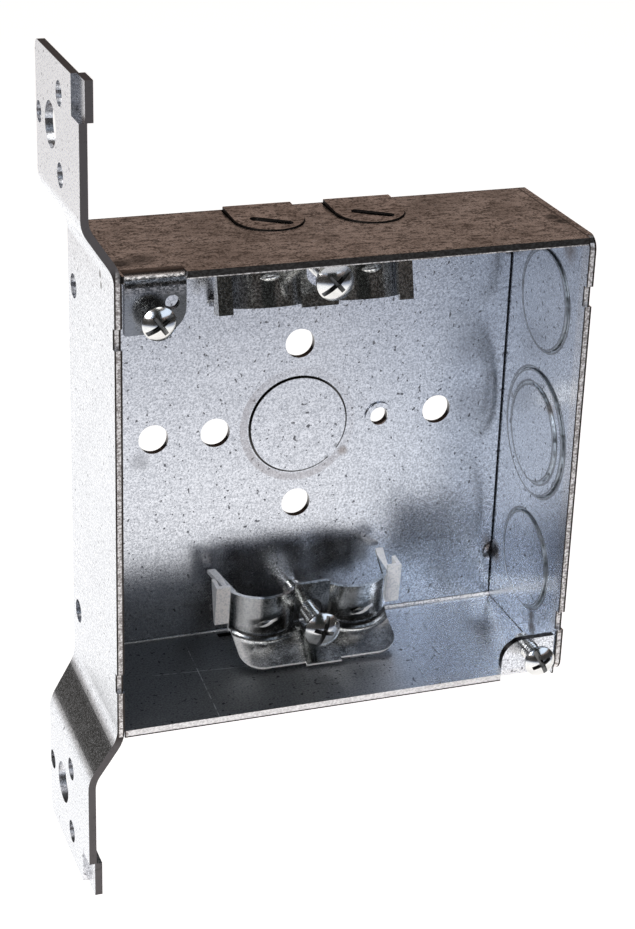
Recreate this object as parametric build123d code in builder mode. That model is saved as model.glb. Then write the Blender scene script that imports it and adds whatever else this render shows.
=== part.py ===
from build123d import *
import os
from math import cos, radians, sin

# Square steel electrical box on a stud bracket, in millimetres.
# Origin: centre of the bracket's two large fixing holes, on the face that meets the stud.
# +X runs from the stud into the box, +Y from the open front to the back wall, +Z up.

# Sheet and shell
sheet = 1.6
box_width = 101.6
box_height = 101.6
box_depth = 38.1
bend_radius = 2.4
end_wall_corner = 3.0

# Stud bracket, one sheet with the left end wall
stud_offset = 6.35
arm_reach = 38.1
offset_run = 9.5
arm_rear_inset = 2.0
bracket_bend = 7.0
arm_corner = 2.0
fixing_setback = 23.7
fixing_rise = 74.6
fixing_hole_radius = 4.65
rear_nail_radius = 2.2
rear_nail_step = 10.0
front_nail_radius = 2.5
front_nail_step = 7.7
front_nail_spread = 8.0
corner_tab_height = 8.0
corner_tab_depth = 6.0
corner_tab_step = 1.2
wall_nail_radius = 2.6
wall_nail_setback = 33.5
wall_nail_rise = 37.7

# Front edge notches of the end walls
notch_rise = 37.9
notch_length = 4.4
notch_depth = 1.2

# Knockouts: discs pushed inwards by part of the sheet, with a sheared ring and ties
small_knockout_radius = 11.1
large_knockout_radius = 14.3
knockout_push = 0.45
shear_width = 0.3
shear_depth = 0.6
tie_width = 3.0
end_knockout_setback = 18.3
end_knockout_rise = 31.0

# Back wall holes, measured from the middle of the wall
back_hole_radius = 3.35
back_hole_step = 19.05
outer_hole_step = 33.0
ground_hole_radius = 2.1
ground_rim_radius = 3.2
ground_rim_height = 0.5
seam_width = 0.35
seam_depth = 0.8
dimple_rise = 37.6
dimple_radius = 2.4
dimple_depth = 0.7

# Pry-outs in the top and bottom walls, pushed outwards
pry_half_width = 7.4
pry_spacing = 22.2
pry_front = 19.8
pry_back_margin = 0.4
pry_front_push = 0.25
pry_push = 0.9
pry_slot_length = 9.2
pry_slot_width = 2.3
pry_slot_setback = 25.0
pry_slot_angle = -30

# Screws: 8-32 machine screws with plain shanks
shank_radius = 2.0
screw_clearance = 0.06
clamp_head_radius = 4.05
cover_head_radius = 3.45
head_height = 2.3
head_side_height = 0.9
recess_length = 4.4
recess_width = 0.9
recess_depth = 1.3
tip_chamfer = 0.4

# Cover ears folded down from the top wall and up from the bottom wall
ear_width = 12.3
upper_ear_height = 12.2
lower_ear_height = 9.6
ear_bend = 2.6
ear_slit = 0.5
ear_corner = 5.0
cover_screw_inset = 7.9
upper_screw_drop = 8.8
lower_screw_rise = 6.8
upper_spare_hole = (3.7, 2.8)
lower_spare_hole = (3.7, -2.4)
spare_hole_radius = 1.45
cover_screw_length = 9.5
upper_screw_standoff = 3.0
lower_screw_standoff = 4.6

# Cable clamps: pressed strips with two arches, a foot and two prongs
clamp_sheet = 0.9
clamp_height = 11.0
clamp_tab = 0.85
centre_half_width = 4.1
arch_centre = 11.2
arch_crest = 2.6
arch_end = 18.6
strip_step = 1.8
strip_outer = 21.8
strip_bottom = 2.7
strip_top = 12.3
foot_half_width = 18.2
foot_depth = 10.2
foot_corner = 5.0
foot_drop = 15.4
foot_bend = 2.2
prong_inner = 17.2
prong_width = 1.8
prong_splay = 2.0
prong_length = 11.6
gusset_depth = 4.0
screw_slot_radius = 2.7
screw_slot_low = 3.0
screw_slot_high = 4.9
bead_length = 5.8
bead_width = 2.0
bead_sink = 0.35
bead_rise = 4.5
bead_angle = 16
lower_clamp_standoff = 13.4
lower_clamp_rise = 6.13
lower_clamp_tilt = 6.6
upper_clamp_standoff = 10.8
upper_clamp_drop = 7.4
upper_clamp_tilt = 14.5

# Clamp screws
clamp_screw_rise = 10.4
clamp_screw_offset = -0.4
clamp_head_standoff = 22.25
clamp_screw_length = 22.2

# Places worked out from the sizes above
left_x = stud_offset
right_x = left_x + box_width
body_left = left_x + sheet
body_right = right_x - sheet
centre_x = left_x + box_width / 2
rim_y = -fixing_setback
back_y = rim_y + box_depth
back_inner_y = back_y - sheet
top_z = box_height / 2
arm_end = top_z + arm_reach
screw_hole_radius = shank_radius + screw_clearance
ear_far = body_right - centre_x - ear_slit
cover_screw_x = box_width / 2 - cover_screw_inset
upper_screw_z = top_z - upper_screw_drop
lower_screw_z = lower_screw_rise - top_z
clamp_screw_step = top_z - clamp_screw_rise
strip_back = strip_step + clamp_sheet

os.makedirs("parts", exist_ok=True)


def ring_groove(plane, points, radius, tie_angles):
    """The sheared ring round a knockout, broken at its ties."""
    with BuildSketch(plane) as groove:
        with Locations(*points):
            Circle(radius + shear_width)
            Circle(radius, mode=Mode.SUBTRACT)
        for point in points:
            for angle in tie_angles:
                with Locations(Location((point[0], point[1], 0), angle)):
                    with Locations((radius, 0)):
                        Rectangle(4 * shear_width, tie_width, mode=Mode.SUBTRACT)
    return groove.sketch


def discs(plane, points, radius):
    """Round areas of one radius on a plane."""
    with BuildSketch(plane) as areas:
        with Locations(*points):
            Circle(radius)
    return areas.sketch


def pry_areas(plane, grow):
    """The two D-shaped pry-outs of a wall, grown on every side."""
    half = pry_half_width + grow
    round_y = pry_front + pry_half_width
    back_end = box_depth - bend_radius - pry_back_margin + grow
    with BuildSketch(plane) as areas:
        for x in (-pry_spacing / 2, pry_spacing / 2):
            with Locations((x, round_y)):
                Circle(half)
            with Locations((x, (round_y + back_end) / 2)):
                Rectangle(2 * half, back_end - round_y)
    return areas.sketch


def wall_outline(x):
    """Side outline of an end wall, with its four corners rounded."""
    with BuildSketch(Plane.YZ.offset(x)) as outline:
        with Locations((rim_y + box_depth / 2, 0)):
            Rectangle(box_depth, box_height)
        fillet(outline.vertices().group_by(Axis.X)[0], end_wall_corner)
        fillet(outline.vertices().group_by(Axis.X)[-1], bend_radius)
    return outline.sketch


def front_notches(x):
    """The two locating notches in the front edge of an end wall."""
    with BuildSketch(Plane.YZ.offset(x)) as notches:
        with Locations((rim_y, notch_rise), (rim_y, -notch_rise)):
            Rectangle(2 * notch_depth, notch_length)
    return notches.sketch


def clamp_plane(turn, standoff, z, tilt):
    """Clamp frame: x across, y to the back wall, z from the foot to the free edge."""
    lean = radians(tilt)
    return Plane(
        origin=(centre_x, back_y - standoff, z),
        x_dir=(turn, 0, 0),
        z_dir=(0, -sin(lean), turn * cos(lean)),
    )


def on_inner_bend(foot_plane, edge):
    """True for the edges where the front of a clamp's wall rises from its foot."""
    middle = foot_plane.to_local_coords(edge.position_at(0.5))
    level = abs(middle.Z - clamp_sheet) < clamp_sheet / 10
    beside_wall = -arch_crest - clamp_sheet < middle.Y < strip_step
    return level and beside_wall and abs(middle.X) < foot_half_width - clamp_sheet / 10


back_inner = Plane(origin=(centre_x, back_inner_y, 0), x_dir=(1, 0, 0), z_dir=(0, -1, 0))
right_inner = Plane(
    origin=(body_right, rim_y + end_knockout_setback, 0), x_dir=(0, -1, 0), z_dir=(-1, 0, 0)
)
lower_clamp_z = -top_z + lower_clamp_rise
upper_clamp_z = top_z - upper_clamp_drop

# Box body: top, back and bottom walls and both cover ears, folded from one sheet
with BuildPart() as box_body:
    with BuildSketch(Plane.YZ.offset(body_left)):
        with BuildLine():
            FilletPolyline(
                (rim_y, top_z), (back_y, top_z), (back_y, -top_z), (rim_y, -top_z), radius=bend_radius
            )
            offset(amount=sheet, side=Side.RIGHT)
        make_face()
    extrude(amount=body_right - body_left)

    # Each ear turns in from the rim through a wider bend
    ears = (
        (1, upper_ear_height, upper_screw_z, upper_spare_hole),
        (-1, lower_ear_height, lower_screw_z, lower_spare_hole),
    )
    for turn, ear_height, screw_z, spare in ears:
        ear_side = Plane(origin=(centre_x - turn * ear_far, 0, 0), x_dir=(0, 1, 0), z_dir=(turn, 0, 0))
        with BuildSketch(ear_side):
            with Locations((rim_y, top_z)):
                Rectangle(2 * ear_bend, 2 * sheet)
        extrude(amount=ear_width, mode=Mode.SUBTRACT)
        with BuildSketch(ear_side):
            with BuildLine():
                FilletPolyline(
                    (rim_y + ear_bend + sheet, top_z),
                    (rim_y, top_z),
                    (rim_y, top_z - ear_height),
                    radius=ear_bend,
                )
                offset(amount=sheet, side=Side.LEFT)
            make_face()
        extrude(amount=ear_width)
        free_corner = (centre_x - turn * (ear_far - ear_width), rim_y, turn * (top_z - ear_height))
        fillet(box_body.edges().filter_by(Axis.Y).sort_by_distance(free_corner)[0], ear_corner)
        ear_face = Plane(origin=(centre_x, rim_y, 0), x_dir=(1, 0, 0), z_dir=(0, -1, 0))
        screw_point = (-turn * cover_screw_x, screw_z)
        spare_point = (screw_point[0] + spare[0], screw_point[1] + spare[1])
        extrude(discs(ear_face, [screw_point], screw_hole_radius), amount=-sheet, mode=Mode.SUBTRACT)
        extrude(discs(ear_face, [spare_point], spare_hole_radius), amount=-sheet, mode=Mode.SUBTRACT)

    # Back wall: centre knockout
    centre = [(0, 0)]
    extrude(discs(back_inner, centre, small_knockout_radius), amount=knockout_push)
    extrude(
        discs(back_inner.offset(-sheet), centre, small_knockout_radius),
        amount=knockout_push,
        mode=Mode.SUBTRACT,
    )
    extrude(
        ring_groove(back_inner, centre, small_knockout_radius, [-45]),
        amount=-shear_depth,
        mode=Mode.SUBTRACT,
    )

    # Back wall: mounting holes, ground hole in a drawn rim, clamp screw holes
    mounting_points = [
        (0, back_hole_step),
        (0, -back_hole_step),
        (-back_hole_step, 0),
        (-outer_hole_step, 0),
        (outer_hole_step, 0),
    ]
    clamp_screw_points = [(clamp_screw_offset, clamp_screw_step), (clamp_screw_offset, -clamp_screw_step)]
    ground_point = [(back_hole_step, 0)]
    extrude(discs(back_inner, ground_point, ground_rim_radius), amount=ground_rim_height)
    drawn = back_inner.offset(ground_rim_height)
    extrude(discs(back_inner, mounting_points, back_hole_radius), amount=-sheet, mode=Mode.SUBTRACT)
    extrude(
        discs(drawn, ground_point, ground_hole_radius),
        amount=-sheet - ground_rim_height,
        mode=Mode.SUBTRACT,
    )
    extrude(discs(back_inner, clamp_screw_points, screw_hole_radius), amount=-sheet, mode=Mode.SUBTRACT)

    # Back wall: open seams along the end walls, and a weld dimple near each end of the right one
    with BuildSketch(back_inner):
        for turn in (1, -1):
            with Locations((turn * (body_right - centre_x), 0)):
                Rectangle(2 * seam_width, box_height - 4 * bend_radius)
    extrude(amount=-seam_depth, mode=Mode.SUBTRACT)
    dimple_ball = (dimple_radius**2 + dimple_depth**2) / (2 * dimple_depth)
    dimple_y = back_inner_y + dimple_depth - dimple_ball
    with Locations((body_right, dimple_y, dimple_rise), (body_right, dimple_y, -dimple_rise)):
        Sphere(dimple_ball, mode=Mode.SUBTRACT)

    # Top and bottom walls: two pry-outs each, leaning out towards the back, with a screwdriver slot
    pry_back = box_depth - bend_radius - pry_back_margin
    for turn in (1, -1):
        wall = Plane(origin=(centre_x, rim_y, turn * top_z), x_dir=(turn, 0, 0), z_dir=(0, 0, turn))
        extrude(pry_areas(wall, shear_width), amount=-shear_depth, mode=Mode.SUBTRACT)
        extrude(pry_areas(wall.offset(-shear_depth), 0), amount=shear_depth + pry_push)
        extrude(pry_areas(wall.offset(-sheet), 0), amount=pry_push, mode=Mode.SUBTRACT)
        with BuildSketch(Plane(origin=wall.origin, x_dir=(0, 1, 0), z_dir=(turn, 0, 0))):
            with BuildLine():
                Polyline(
                    (pry_front, pry_front_push),
                    (pry_back, pry_push),
                    (pry_back, 2 * pry_push),
                    (pry_front, 2 * pry_push),
                    close=True,
                )
            make_face()
        extrude(amount=box_width / 2, both=True, mode=Mode.SUBTRACT)
        with BuildSketch(wall.offset(pry_push)):
            for x in (-pry_spacing / 2, pry_spacing / 2):
                with Locations((x, pry_slot_setback)):
                    SlotOverall(pry_slot_length, pry_slot_width, rotation=pry_slot_angle)
        extrude(amount=-sheet - pry_push, mode=Mode.SUBTRACT)

box_body.part.label = "box_body"
export_step(box_body.part, "parts/box_body.step")

# Right end wall: two single knockouts and a concentric one between them
with BuildPart() as right_side_wall:
    extrude(wall_outline(body_right), amount=sheet)
    extrude(front_notches(body_right), amount=sheet, mode=Mode.SUBTRACT)
    right_outer = right_inner.offset(-sheet)
    single_points = [(0, end_knockout_rise), (0, -end_knockout_rise)]
    double_point = [(0, 0)]
    for points, radius, push, ties in (
        (single_points, small_knockout_radius, knockout_push, [180]),
        (double_point, large_knockout_radius, knockout_push, [0, 180]),
        (double_point, small_knockout_radius, 2 * knockout_push, [-90]),
    ):
        extrude(discs(right_inner, points, radius), amount=push)
        extrude(discs(right_outer, points, radius), amount=push, mode=Mode.SUBTRACT)
        extrude(ring_groove(right_inner, points, radius, ties), amount=-shear_depth, mode=Mode.SUBTRACT)

right_side_wall.part.label = "right_side_wall"
export_step(right_side_wall.part, "parts/right_side_wall.step")

# Left end wall and stud bracket: one sheet, with an offset arm above and below the box
with BuildPart() as bracket_side_wall:
    with BuildSketch(Plane(origin=(0, back_y, 0), x_dir=(1, 0, 0), z_dir=(0, -1, 0))):
        with BuildLine():
            FilletPolyline(
                (0, -arm_end),
                (0, -top_z - offset_run),
                (left_x, -top_z),
                (left_x, top_z),
                (0, top_z + offset_run),
                (0, arm_end),
                radius=bracket_bend,
            )
            offset(amount=sheet, side=Side.RIGHT)
        make_face()
    extrude(amount=box_depth)

    # The arms are narrower than the wall: their rear edge runs in over the offset
    with BuildSketch(Plane.YZ):
        for turn in (1, -1):
            with BuildLine():
                Polyline(
                    (back_y, turn * top_z),
                    (back_y - arm_rear_inset, turn * (top_z + offset_run)),
                    (back_y - arm_rear_inset, turn * arm_end),
                    (back_y, turn * arm_end),
                    close=True,
                )
            make_face()
    extrude(amount=body_left, mode=Mode.SUBTRACT)
    fillet(bracket_side_wall.edges().filter_by(Axis.X).group_by(Axis.Z)[0], arm_corner)
    fillet(bracket_side_wall.edges().filter_by(Axis.X).group_by(Axis.Z)[-1], arm_corner)

    # Fixing and nail holes of the arms
    rise = fixing_rise
    arm_holes = (
        ([(0, rise), (0, -rise)], fixing_hole_radius),
        ([(rear_nail_step, rise), (rear_nail_step, -rise)], rear_nail_radius),
        (
            [
                (-front_nail_step, side * rise + spread)
                for side in (1, -1)
                for spread in (front_nail_spread, -front_nail_spread)
            ],
            front_nail_radius,
        ),
    )
    for points, radius in arm_holes:
        extrude(discs(Plane.YZ, points, radius), amount=sheet, mode=Mode.SUBTRACT)

    # Nail holes and front notches of the wall itself
    nail_y = rim_y + wall_nail_setback
    nail_points = [(nail_y, wall_nail_rise), (nail_y, -wall_nail_rise)]
    extrude(discs(Plane.YZ.offset(left_x), nail_points, wall_nail_radius), amount=sheet, mode=Mode.SUBTRACT)
    extrude(front_notches(left_x), amount=sheet, mode=Mode.SUBTRACT)

    # Corner tabs of the arms, half sheared away from the stud
    with BuildSketch(Plane.YZ) as tabs:
        for turn in (1, -1):
            corner = (rim_y + corner_tab_depth / 2, turn * (arm_end - corner_tab_height / 2))
            with Locations(corner):
                Rectangle(corner_tab_depth, corner_tab_height)
    extrude(amount=sheet, mode=Mode.SUBTRACT)
    extrude(tabs.sketch.moved(Location((corner_tab_step, 0, 0))), amount=sheet)

bracket_side_wall.part.label = "bracket_side_wall"
export_step(bracket_side_wall.part, "parts/bracket_side_wall.step")

# Cable clamps: the upper one is the lower one turned half round, hanging looser on its screw
clamps = (
    ("lower_cable_clamp", 1, lower_clamp_standoff, lower_clamp_z, lower_clamp_tilt),
    ("upper_cable_clamp", -1, upper_clamp_standoff, upper_clamp_z, upper_clamp_tilt),
)
for name, turn, standoff, z, tilt in clamps:
    seat = clamp_plane(turn, standoff, z, tilt)
    foot_plane = clamp_plane(turn, standoff, z, tilt + foot_drop)
    with BuildPart() as cable_clamp:
        # Arched wall, cut off along the underside of the foot
        with BuildSketch(seat.offset(-arch_crest)):
            with BuildLine():
                Line((-strip_outer, strip_step), (-arch_end, strip_step))
                ThreePointArc((-arch_end, strip_step), (-arch_centre, -arch_crest), (-centre_half_width, 0))
                Line((-centre_half_width, 0), (centre_half_width, 0))
                ThreePointArc((centre_half_width, 0), (arch_centre, -arch_crest), (arch_end, strip_step))
                Line((arch_end, strip_step), (strip_outer, strip_step))
                offset(amount=clamp_sheet, side=Side.LEFT)
            make_face()
        extrude(amount=clamp_height + arch_crest)
        split(bisect_by=foot_plane, keep=Keep.TOP)

        # Flat end strips stand higher than the arches and stop short of the foot
        for side in (1, -1):
            with BuildSketch(seat):
                with Locations((side * (arch_end + strip_outer) / 2, strip_step + clamp_sheet / 2)):
                    Rectangle(strip_outer - arch_end, clamp_sheet)
            extrude(amount=strip_top)
            with BuildSketch(seat.offset(-arch_crest)):
                with Locations((side * (arch_end + strip_outer) / 2, 0)):
                    Rectangle(strip_outer - arch_end, 4 * strip_back)
            extrude(amount=arch_crest + strip_bottom, mode=Mode.SUBTRACT)

        # Middle tab of the free edge
        with BuildSketch(seat.offset(clamp_height)):
            with Locations((0, clamp_sheet / 2)):
                Rectangle(2 * centre_half_width, clamp_sheet)
        extrude(amount=clamp_tab)

        # Foot: its back edge follows the middle of the arched wall
        with BuildSketch(foot_plane) as foot:
            with Locations((0, (strip_back - foot_depth) / 2)):
                Rectangle(2 * foot_half_width, strip_back + foot_depth)
            fillet(foot.vertices().group_by(Axis.Y)[0], foot_corner)
            with Locations((0, -foot_depth)):
                Rectangle(2 * centre_half_width, 2 * clamp_tab)
            with BuildLine():
                mid = clamp_sheet / 2
                Line((-strip_outer, strip_step + mid), (-arch_end, strip_step + mid))
                ThreePointArc(
                    (-arch_end, strip_step + mid),
                    (-arch_centre, mid - arch_crest),
                    (-centre_half_width, mid),
                )
                Line((-centre_half_width, mid), (centre_half_width, mid))
                ThreePointArc(
                    (centre_half_width, mid),
                    (arch_centre, mid - arch_crest),
                    (arch_end, strip_step + mid),
                )
                Line((arch_end, strip_step + mid), (strip_outer, strip_step + mid))
                Line((strip_outer, strip_step + mid), (strip_outer, 2 * strip_back))
                Line((strip_outer, 2 * strip_back), (-strip_outer, 2 * strip_back))
                Line((-strip_outer, 2 * strip_back), (-strip_outer, strip_step + mid))
            make_face(mode=Mode.SUBTRACT)
        extrude(amount=clamp_sheet)
        fillet(cable_clamp.edges().filter_by(lambda edge: on_inner_bend(foot_plane, edge)), foot_bend)

        # Prongs: tabs turned back from the free edge, splayed towards the ends
        with BuildSketch(seat.offset(clamp_height - clamp_sheet)):
            for side in (1, -1):
                with BuildLine():
                    Polyline(
                        (side * prong_inner, strip_step),
                        (side * (prong_inner + prong_width), strip_step),
                        (side * (prong_inner + prong_width + prong_splay), prong_length),
                        (side * (prong_inner + prong_splay), prong_length),
                        close=True,
                    )
                make_face()
        extrude(amount=clamp_sheet)

        # Gussets: triangles turned back from the outer edges of the end strips
        for side in (1, -1):
            gusset_x = side * strip_outer - (clamp_sheet if side > 0 else 0)
            gusset_plane = Plane(
                origin=seat.from_local_coords(Vector(gusset_x, 0, 0)),
                x_dir=seat.y_dir,
                z_dir=seat.x_dir,
            )
            with BuildSketch(gusset_plane):
                with BuildLine():
                    Polyline(
                        (strip_step, strip_bottom),
                        (strip_back, strip_bottom),
                        (strip_step + gusset_depth, strip_top),
                        (strip_step, strip_top),
                        close=True,
                    )
                make_face()
            extrude(amount=clamp_sheet)

        # Screw slot through the middle
        face_plane = Plane(origin=seat.origin, x_dir=seat.x_dir, z_dir=-seat.y_dir)
        with BuildSketch(face_plane):
            with Locations((0, (screw_slot_low + screw_slot_high) / 2)):
                SlotCenterToCenter(screw_slot_high - screw_slot_low, 2 * screw_slot_radius, rotation=90)
        extrude(amount=2 * arch_crest, both=True, mode=Mode.SUBTRACT)

        # Beads: short ridges pressed out of the arches
        for side in (1, -1):
            crest = seat.from_local_coords(Vector(side * arch_centre, bead_sink - arch_crest, bead_rise))
            bead_plane = Plane(origin=crest, x_dir=seat.x_dir, z_dir=-seat.y_dir).rotated((0, 0, bead_angle))
            with BuildSketch(bead_plane):
                with BuildLine():
                    ThreePointArc((-bead_length / 2, 0), (0, bead_width / 2), (bead_length / 2, 0))
                    Line((bead_length / 2, 0), (-bead_length / 2, 0))
                make_face()
            revolve(axis=Axis(crest, bead_plane.x_dir), revolution_arc=180)

    cable_clamp.part.label = name
    export_step(cable_clamp.part, "parts/" + name + ".step")

# Screws: domed heads with a crossed recess, shanks along the depth of the box
cover_screw = (cover_head_radius, cover_screw_length)
clamp_screw = (clamp_head_radius, clamp_screw_length)
clamp_head_y = back_y - clamp_head_standoff
screws = (
    ("upper_cover_screw", -cover_screw_x, upper_screw_z, rim_y - upper_screw_standoff, cover_screw),
    ("lower_cover_screw", cover_screw_x, lower_screw_z, rim_y - lower_screw_standoff, cover_screw),
    ("upper_clamp_screw", clamp_screw_offset, clamp_screw_step, clamp_head_y, clamp_screw),
    ("lower_clamp_screw", clamp_screw_offset, -clamp_screw_step, clamp_head_y, clamp_screw),
)
for name, x, z, seat_y, (head_radius, length) in screws:
    axis_point = (centre_x + x, seat_y, z)
    head_seat = Plane(origin=axis_point, x_dir=(1, 0, 0), z_dir=(0, -1, 0))
    half_plane = Plane(origin=axis_point, x_dir=(1, 0, 0), z_dir=(0, 0, 1))
    with BuildPart() as screw:
        with BuildSketch(half_plane):
            with BuildLine():
                Line((0, length), (0, -head_height))
                TangentArc((0, -head_height), (head_radius, -head_side_height), tangent=(1, 0))
                Polyline(
                    (head_radius, -head_side_height),
                    (head_radius, 0),
                    (shank_radius, 0),
                    (shank_radius, length - tip_chamfer),
                    (shank_radius - tip_chamfer, length),
                    (0, length),
                )
            make_face()
        revolve(axis=Axis(axis_point, (0, 1, 0)))
        with BuildSketch(head_seat.offset(head_height)):
            Rectangle(recess_length, recess_width)
            Rectangle(recess_width, recess_length)
        extrude(amount=-recess_depth, mode=Mode.SUBTRACT)
    screw.part.label = name
    export_step(screw.part, "parts/" + name + ".step")
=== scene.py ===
from math import cos, pi, radians, sin, tan

import bmesh
import bpy
from mathutils import Matrix, Vector


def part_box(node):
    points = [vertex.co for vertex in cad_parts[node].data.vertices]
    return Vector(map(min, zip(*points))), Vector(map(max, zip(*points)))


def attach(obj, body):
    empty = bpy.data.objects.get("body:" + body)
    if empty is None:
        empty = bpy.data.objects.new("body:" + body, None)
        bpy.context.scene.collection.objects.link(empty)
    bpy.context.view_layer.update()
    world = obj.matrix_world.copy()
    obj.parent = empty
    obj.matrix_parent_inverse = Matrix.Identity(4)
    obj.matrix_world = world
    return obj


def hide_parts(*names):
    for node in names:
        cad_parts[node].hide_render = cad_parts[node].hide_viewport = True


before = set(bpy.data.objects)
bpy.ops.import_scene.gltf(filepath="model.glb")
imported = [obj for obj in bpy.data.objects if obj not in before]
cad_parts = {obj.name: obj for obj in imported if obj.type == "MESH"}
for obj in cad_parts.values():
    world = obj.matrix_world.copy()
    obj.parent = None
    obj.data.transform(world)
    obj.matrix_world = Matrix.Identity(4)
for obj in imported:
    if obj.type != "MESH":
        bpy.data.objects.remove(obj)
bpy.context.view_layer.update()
scene = bpy.context.scene
scene.view_settings.view_transform = "Standard"
MM = 0.001

# Frame: origin between the bracket's fixing holes on the stud face, +Y to the back wall, +Z up.
# Finishes are placed in mm; meshes and the stage are in metres.
SHEET = 1.6
RIM_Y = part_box("right_side_wall")[0].y / MM
TOP_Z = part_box("right_side_wall")[1].z / MM
ARM_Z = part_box("bracket_side_wall")[1].z / MM
LEFT_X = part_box("box_body")[0].x / MM - SHEET
RIGHT_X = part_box("right_side_wall")[1].x / MM
BACK_Y = 12.8
CENTRE_X = (LEFT_X + RIGHT_X) / 2

# Knockouts: setback of the end wall's row, then rise and ring radius of each
KNOCK_Y = RIM_Y + 18.3
SMALL_RING = 11.25
LARGE_RING = 14.45
END_RINGS = ((31.0, SMALL_RING), (-31.0, SMALL_RING), (0.0, SMALL_RING), (0.0, LARGE_RING))

# Lower clamp: leans to the front, levels of the foot's edge and bend along its upright, and beads
FOOT_LEAN = radians(22.0)
WALL_LEAN = radians(6.6)
FOOT_EDGE = (-41.4, -40.85)
FOOT_BEND = (-40.9, -38.6)
BEAD_LEVEL = -39.99
BEAD_OFFSET = 11.2
BEAD_TURN = radians(16)
BEAD_HALF = 2.4

# Colours of the sheet
WHITE = (1.0, 1.0, 1.0)
ZINC_DARK = (0.40, 0.41, 0.435)
ZINC_LIGHT = (0.86, 0.865, 0.89)
SPECK = (0.09, 0.09, 0.10)
FLECK = (0.12, 0.12, 0.13)
# The top's dark browns are real stain and also painted shade standing in for the dark overhead
TOP_STAIN_AND_SHADE = (0.10, 0.08, 0.065)
TOP_WORN = (1.0, 0.95, 0.92)
TOP_BROWN_AND_SHADE = (0.16, 0.12, 0.09)
# Painted shadow of the back knockout's step
STEP_SHADOW_GREY = (0.36, 0.33, 0.33)
SHEAR_BLACK = (0.08, 0.075, 0.07)
BURR = (0.92, 0.94, 0.95)
EDGE_DARK = (0.32, 0.29, 0.275)
EDGE_LIGHT = (0.90, 0.87, 0.85)
EDGE_PALE = (0.95, 0.93, 0.92)
EDGE_LINE = (0.05, 0.042, 0.038)
EDGE_BLACK = (0.012, 0.011, 0.010)
ARM_EDGE = (0.13, 0.12, 0.12)
# Black of cut faces and seams, and painted shade in the pry-out slots
CUT_BLACK_AND_SHADE = (0.035, 0.030, 0.027)
# Painted tint of the blue light on the right
BLUE_LIGHT_TINT = (0.94, 0.985, 1.04)
# Painted light on the right of the bottom wall
FLOOR_RIGHT_LIGHT = (0.95, 0.98, 1.0)
# Painted shade on the left of the bottom wall and of its rear bend
LEFT_SHADE_TINT = (0.22, 0.225, 0.22)
# Painted shade on the bracket's lower offset bend
OFFSET_FOLD_SHADE = (0.06, 0.06, 0.055)
SCORED = (0.60, 0.61, 0.61)
# Painted shade on the upper ear
EAR_SHADE_LEFT = (0.26, 0.27, 0.285)
EAR_SHADE_RIGHT = (0.085, 0.085, 0.08)
EAR_SHADE_DARK = (0.05, 0.05, 0.05)
EAR_SHADE_LIGHT = (0.46, 0.44, 0.43)
EAR_TOP_SHADE = (0.10, 0.08, 0.07)

# Colours of the clamps
MOTTLED_DARK = (0.07, 0.075, 0.075)
MOTTLED_LIGHT = (0.62, 0.625, 0.62)
PLAIN_DARK = (0.26, 0.26, 0.25)
PLAIN_LIGHT = (0.80, 0.80, 0.78)
# Painted highlight grey, painted shade tints, painted light on the foot and painted shade round the beads
HIGHLIGHT_GREY = (0.76, 0.79, 0.82)
FOLD_SHADE_TINT = (0.45, 0.45, 0.45)
PANEL_SHADE_TINT = (0.55, 0.55, 0.55)
FOOT_PAINTED_LIGHT = (0.9, 0.9, 0.9)
BEAD_SHADE_BLACK = (0.045, 0.046, 0.045)

# Marks: point, radius and soft edge in mm, colour and strength. Welds, rust and stains are real; the
# smudges are painted shade on the back wall and a painted dark reflection on the bottom wall.
WELD_BLACK = (0.015, 0.014, 0.013)
RUST = (0.16, 0.10, 0.06)
STREAK = (0.07, 0.05, 0.035)
# Painted shade for the smudges
SHADE_SMUDGE = (0.10, 0.10, 0.11)
MARKS = (
    ((104.6, -8.9, 50.8), 0.9, 1.2, WELD_BLACK, 0.95),
    ((105.6, -12.2, 50.8), 0.9, 1.3, WELD_BLACK, 0.95),
    # Two dark patches on the top's left front
    ((9.5, -16.4, 50.8), 0.6, 3.2, WELD_BLACK, 0.85),
    ((14.0, -15.0, 50.8), 0.8, 4.0, WELD_BLACK, 0.6),
    ((6.35, -12.9, 47.8), 0.5, 0.6, WELD_BLACK, 0.85),
    ((6.35, -13.7, 45.8), 0.5, 0.5, WELD_BLACK, 0.85),
    ((66.1, 12.8, -5.8), 0.25, 0.6, WELD_BLACK, 0.8),
    ((64.0, 12.8, -8.5), 0.25, 0.6, WELD_BLACK, 0.8),
    ((68.0, 12.8, -7.6), 0.4, 1.3, RUST, 0.5),
    ((106.2, 12.8, -37.8), 0.3, 1.2, WELD_BLACK, 0.7),
    ((105.7, 12.8, 37.6), 0.7, 2.2, RUST, 0.7),
    ((106.35, 10.5, -37.0), 0.8, 3.0, RUST, 0.7),
    ((106.35, 9.0, 41.5), 1.0, 5.0, RUST, 0.55),
    ((106.35, -10.8, -43.0), 0.5, 1.5, STREAK, 0.85),
    ((106.35, -11.4, -45.8), 0.7, 2.0, STREAK, 0.85),
    ((106.35, -15.0, 45.5), 0.8, 3.5, RUST, 0.6),
    ((106.35, 5.6, 31.4), 0.4, 0.8, STREAK, 0.6),
    ((106.35, -12.9, 8.7), 0.5, 1.6, RUST, 0.45),
    ((106.35, 6.8, 4.3), 0.4, 0.8, STREAK, 0.6),
    # Painted dark reflection on the bottom wall, then painted shade on the back wall
    ((98.9, -1.4, -49.2), 1.2, 5.0, SHADE_SMUDGE, 0.4),
    ((21.1, 12.8, -5.0), 0.6, 2.6, SHADE_SMUDGE, 0.4),
    ((97.6, 12.8, 14.5), 1.0, 6.0, SHADE_SMUDGE, 0.35),
    ((98.4, 12.8, 1.3), 1.0, 6.0, SHADE_SMUDGE, 0.35),
    ((5.0, -16.8, -49.8), 0.5, 0.7, WELD_BLACK, 0.9),
)


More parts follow.
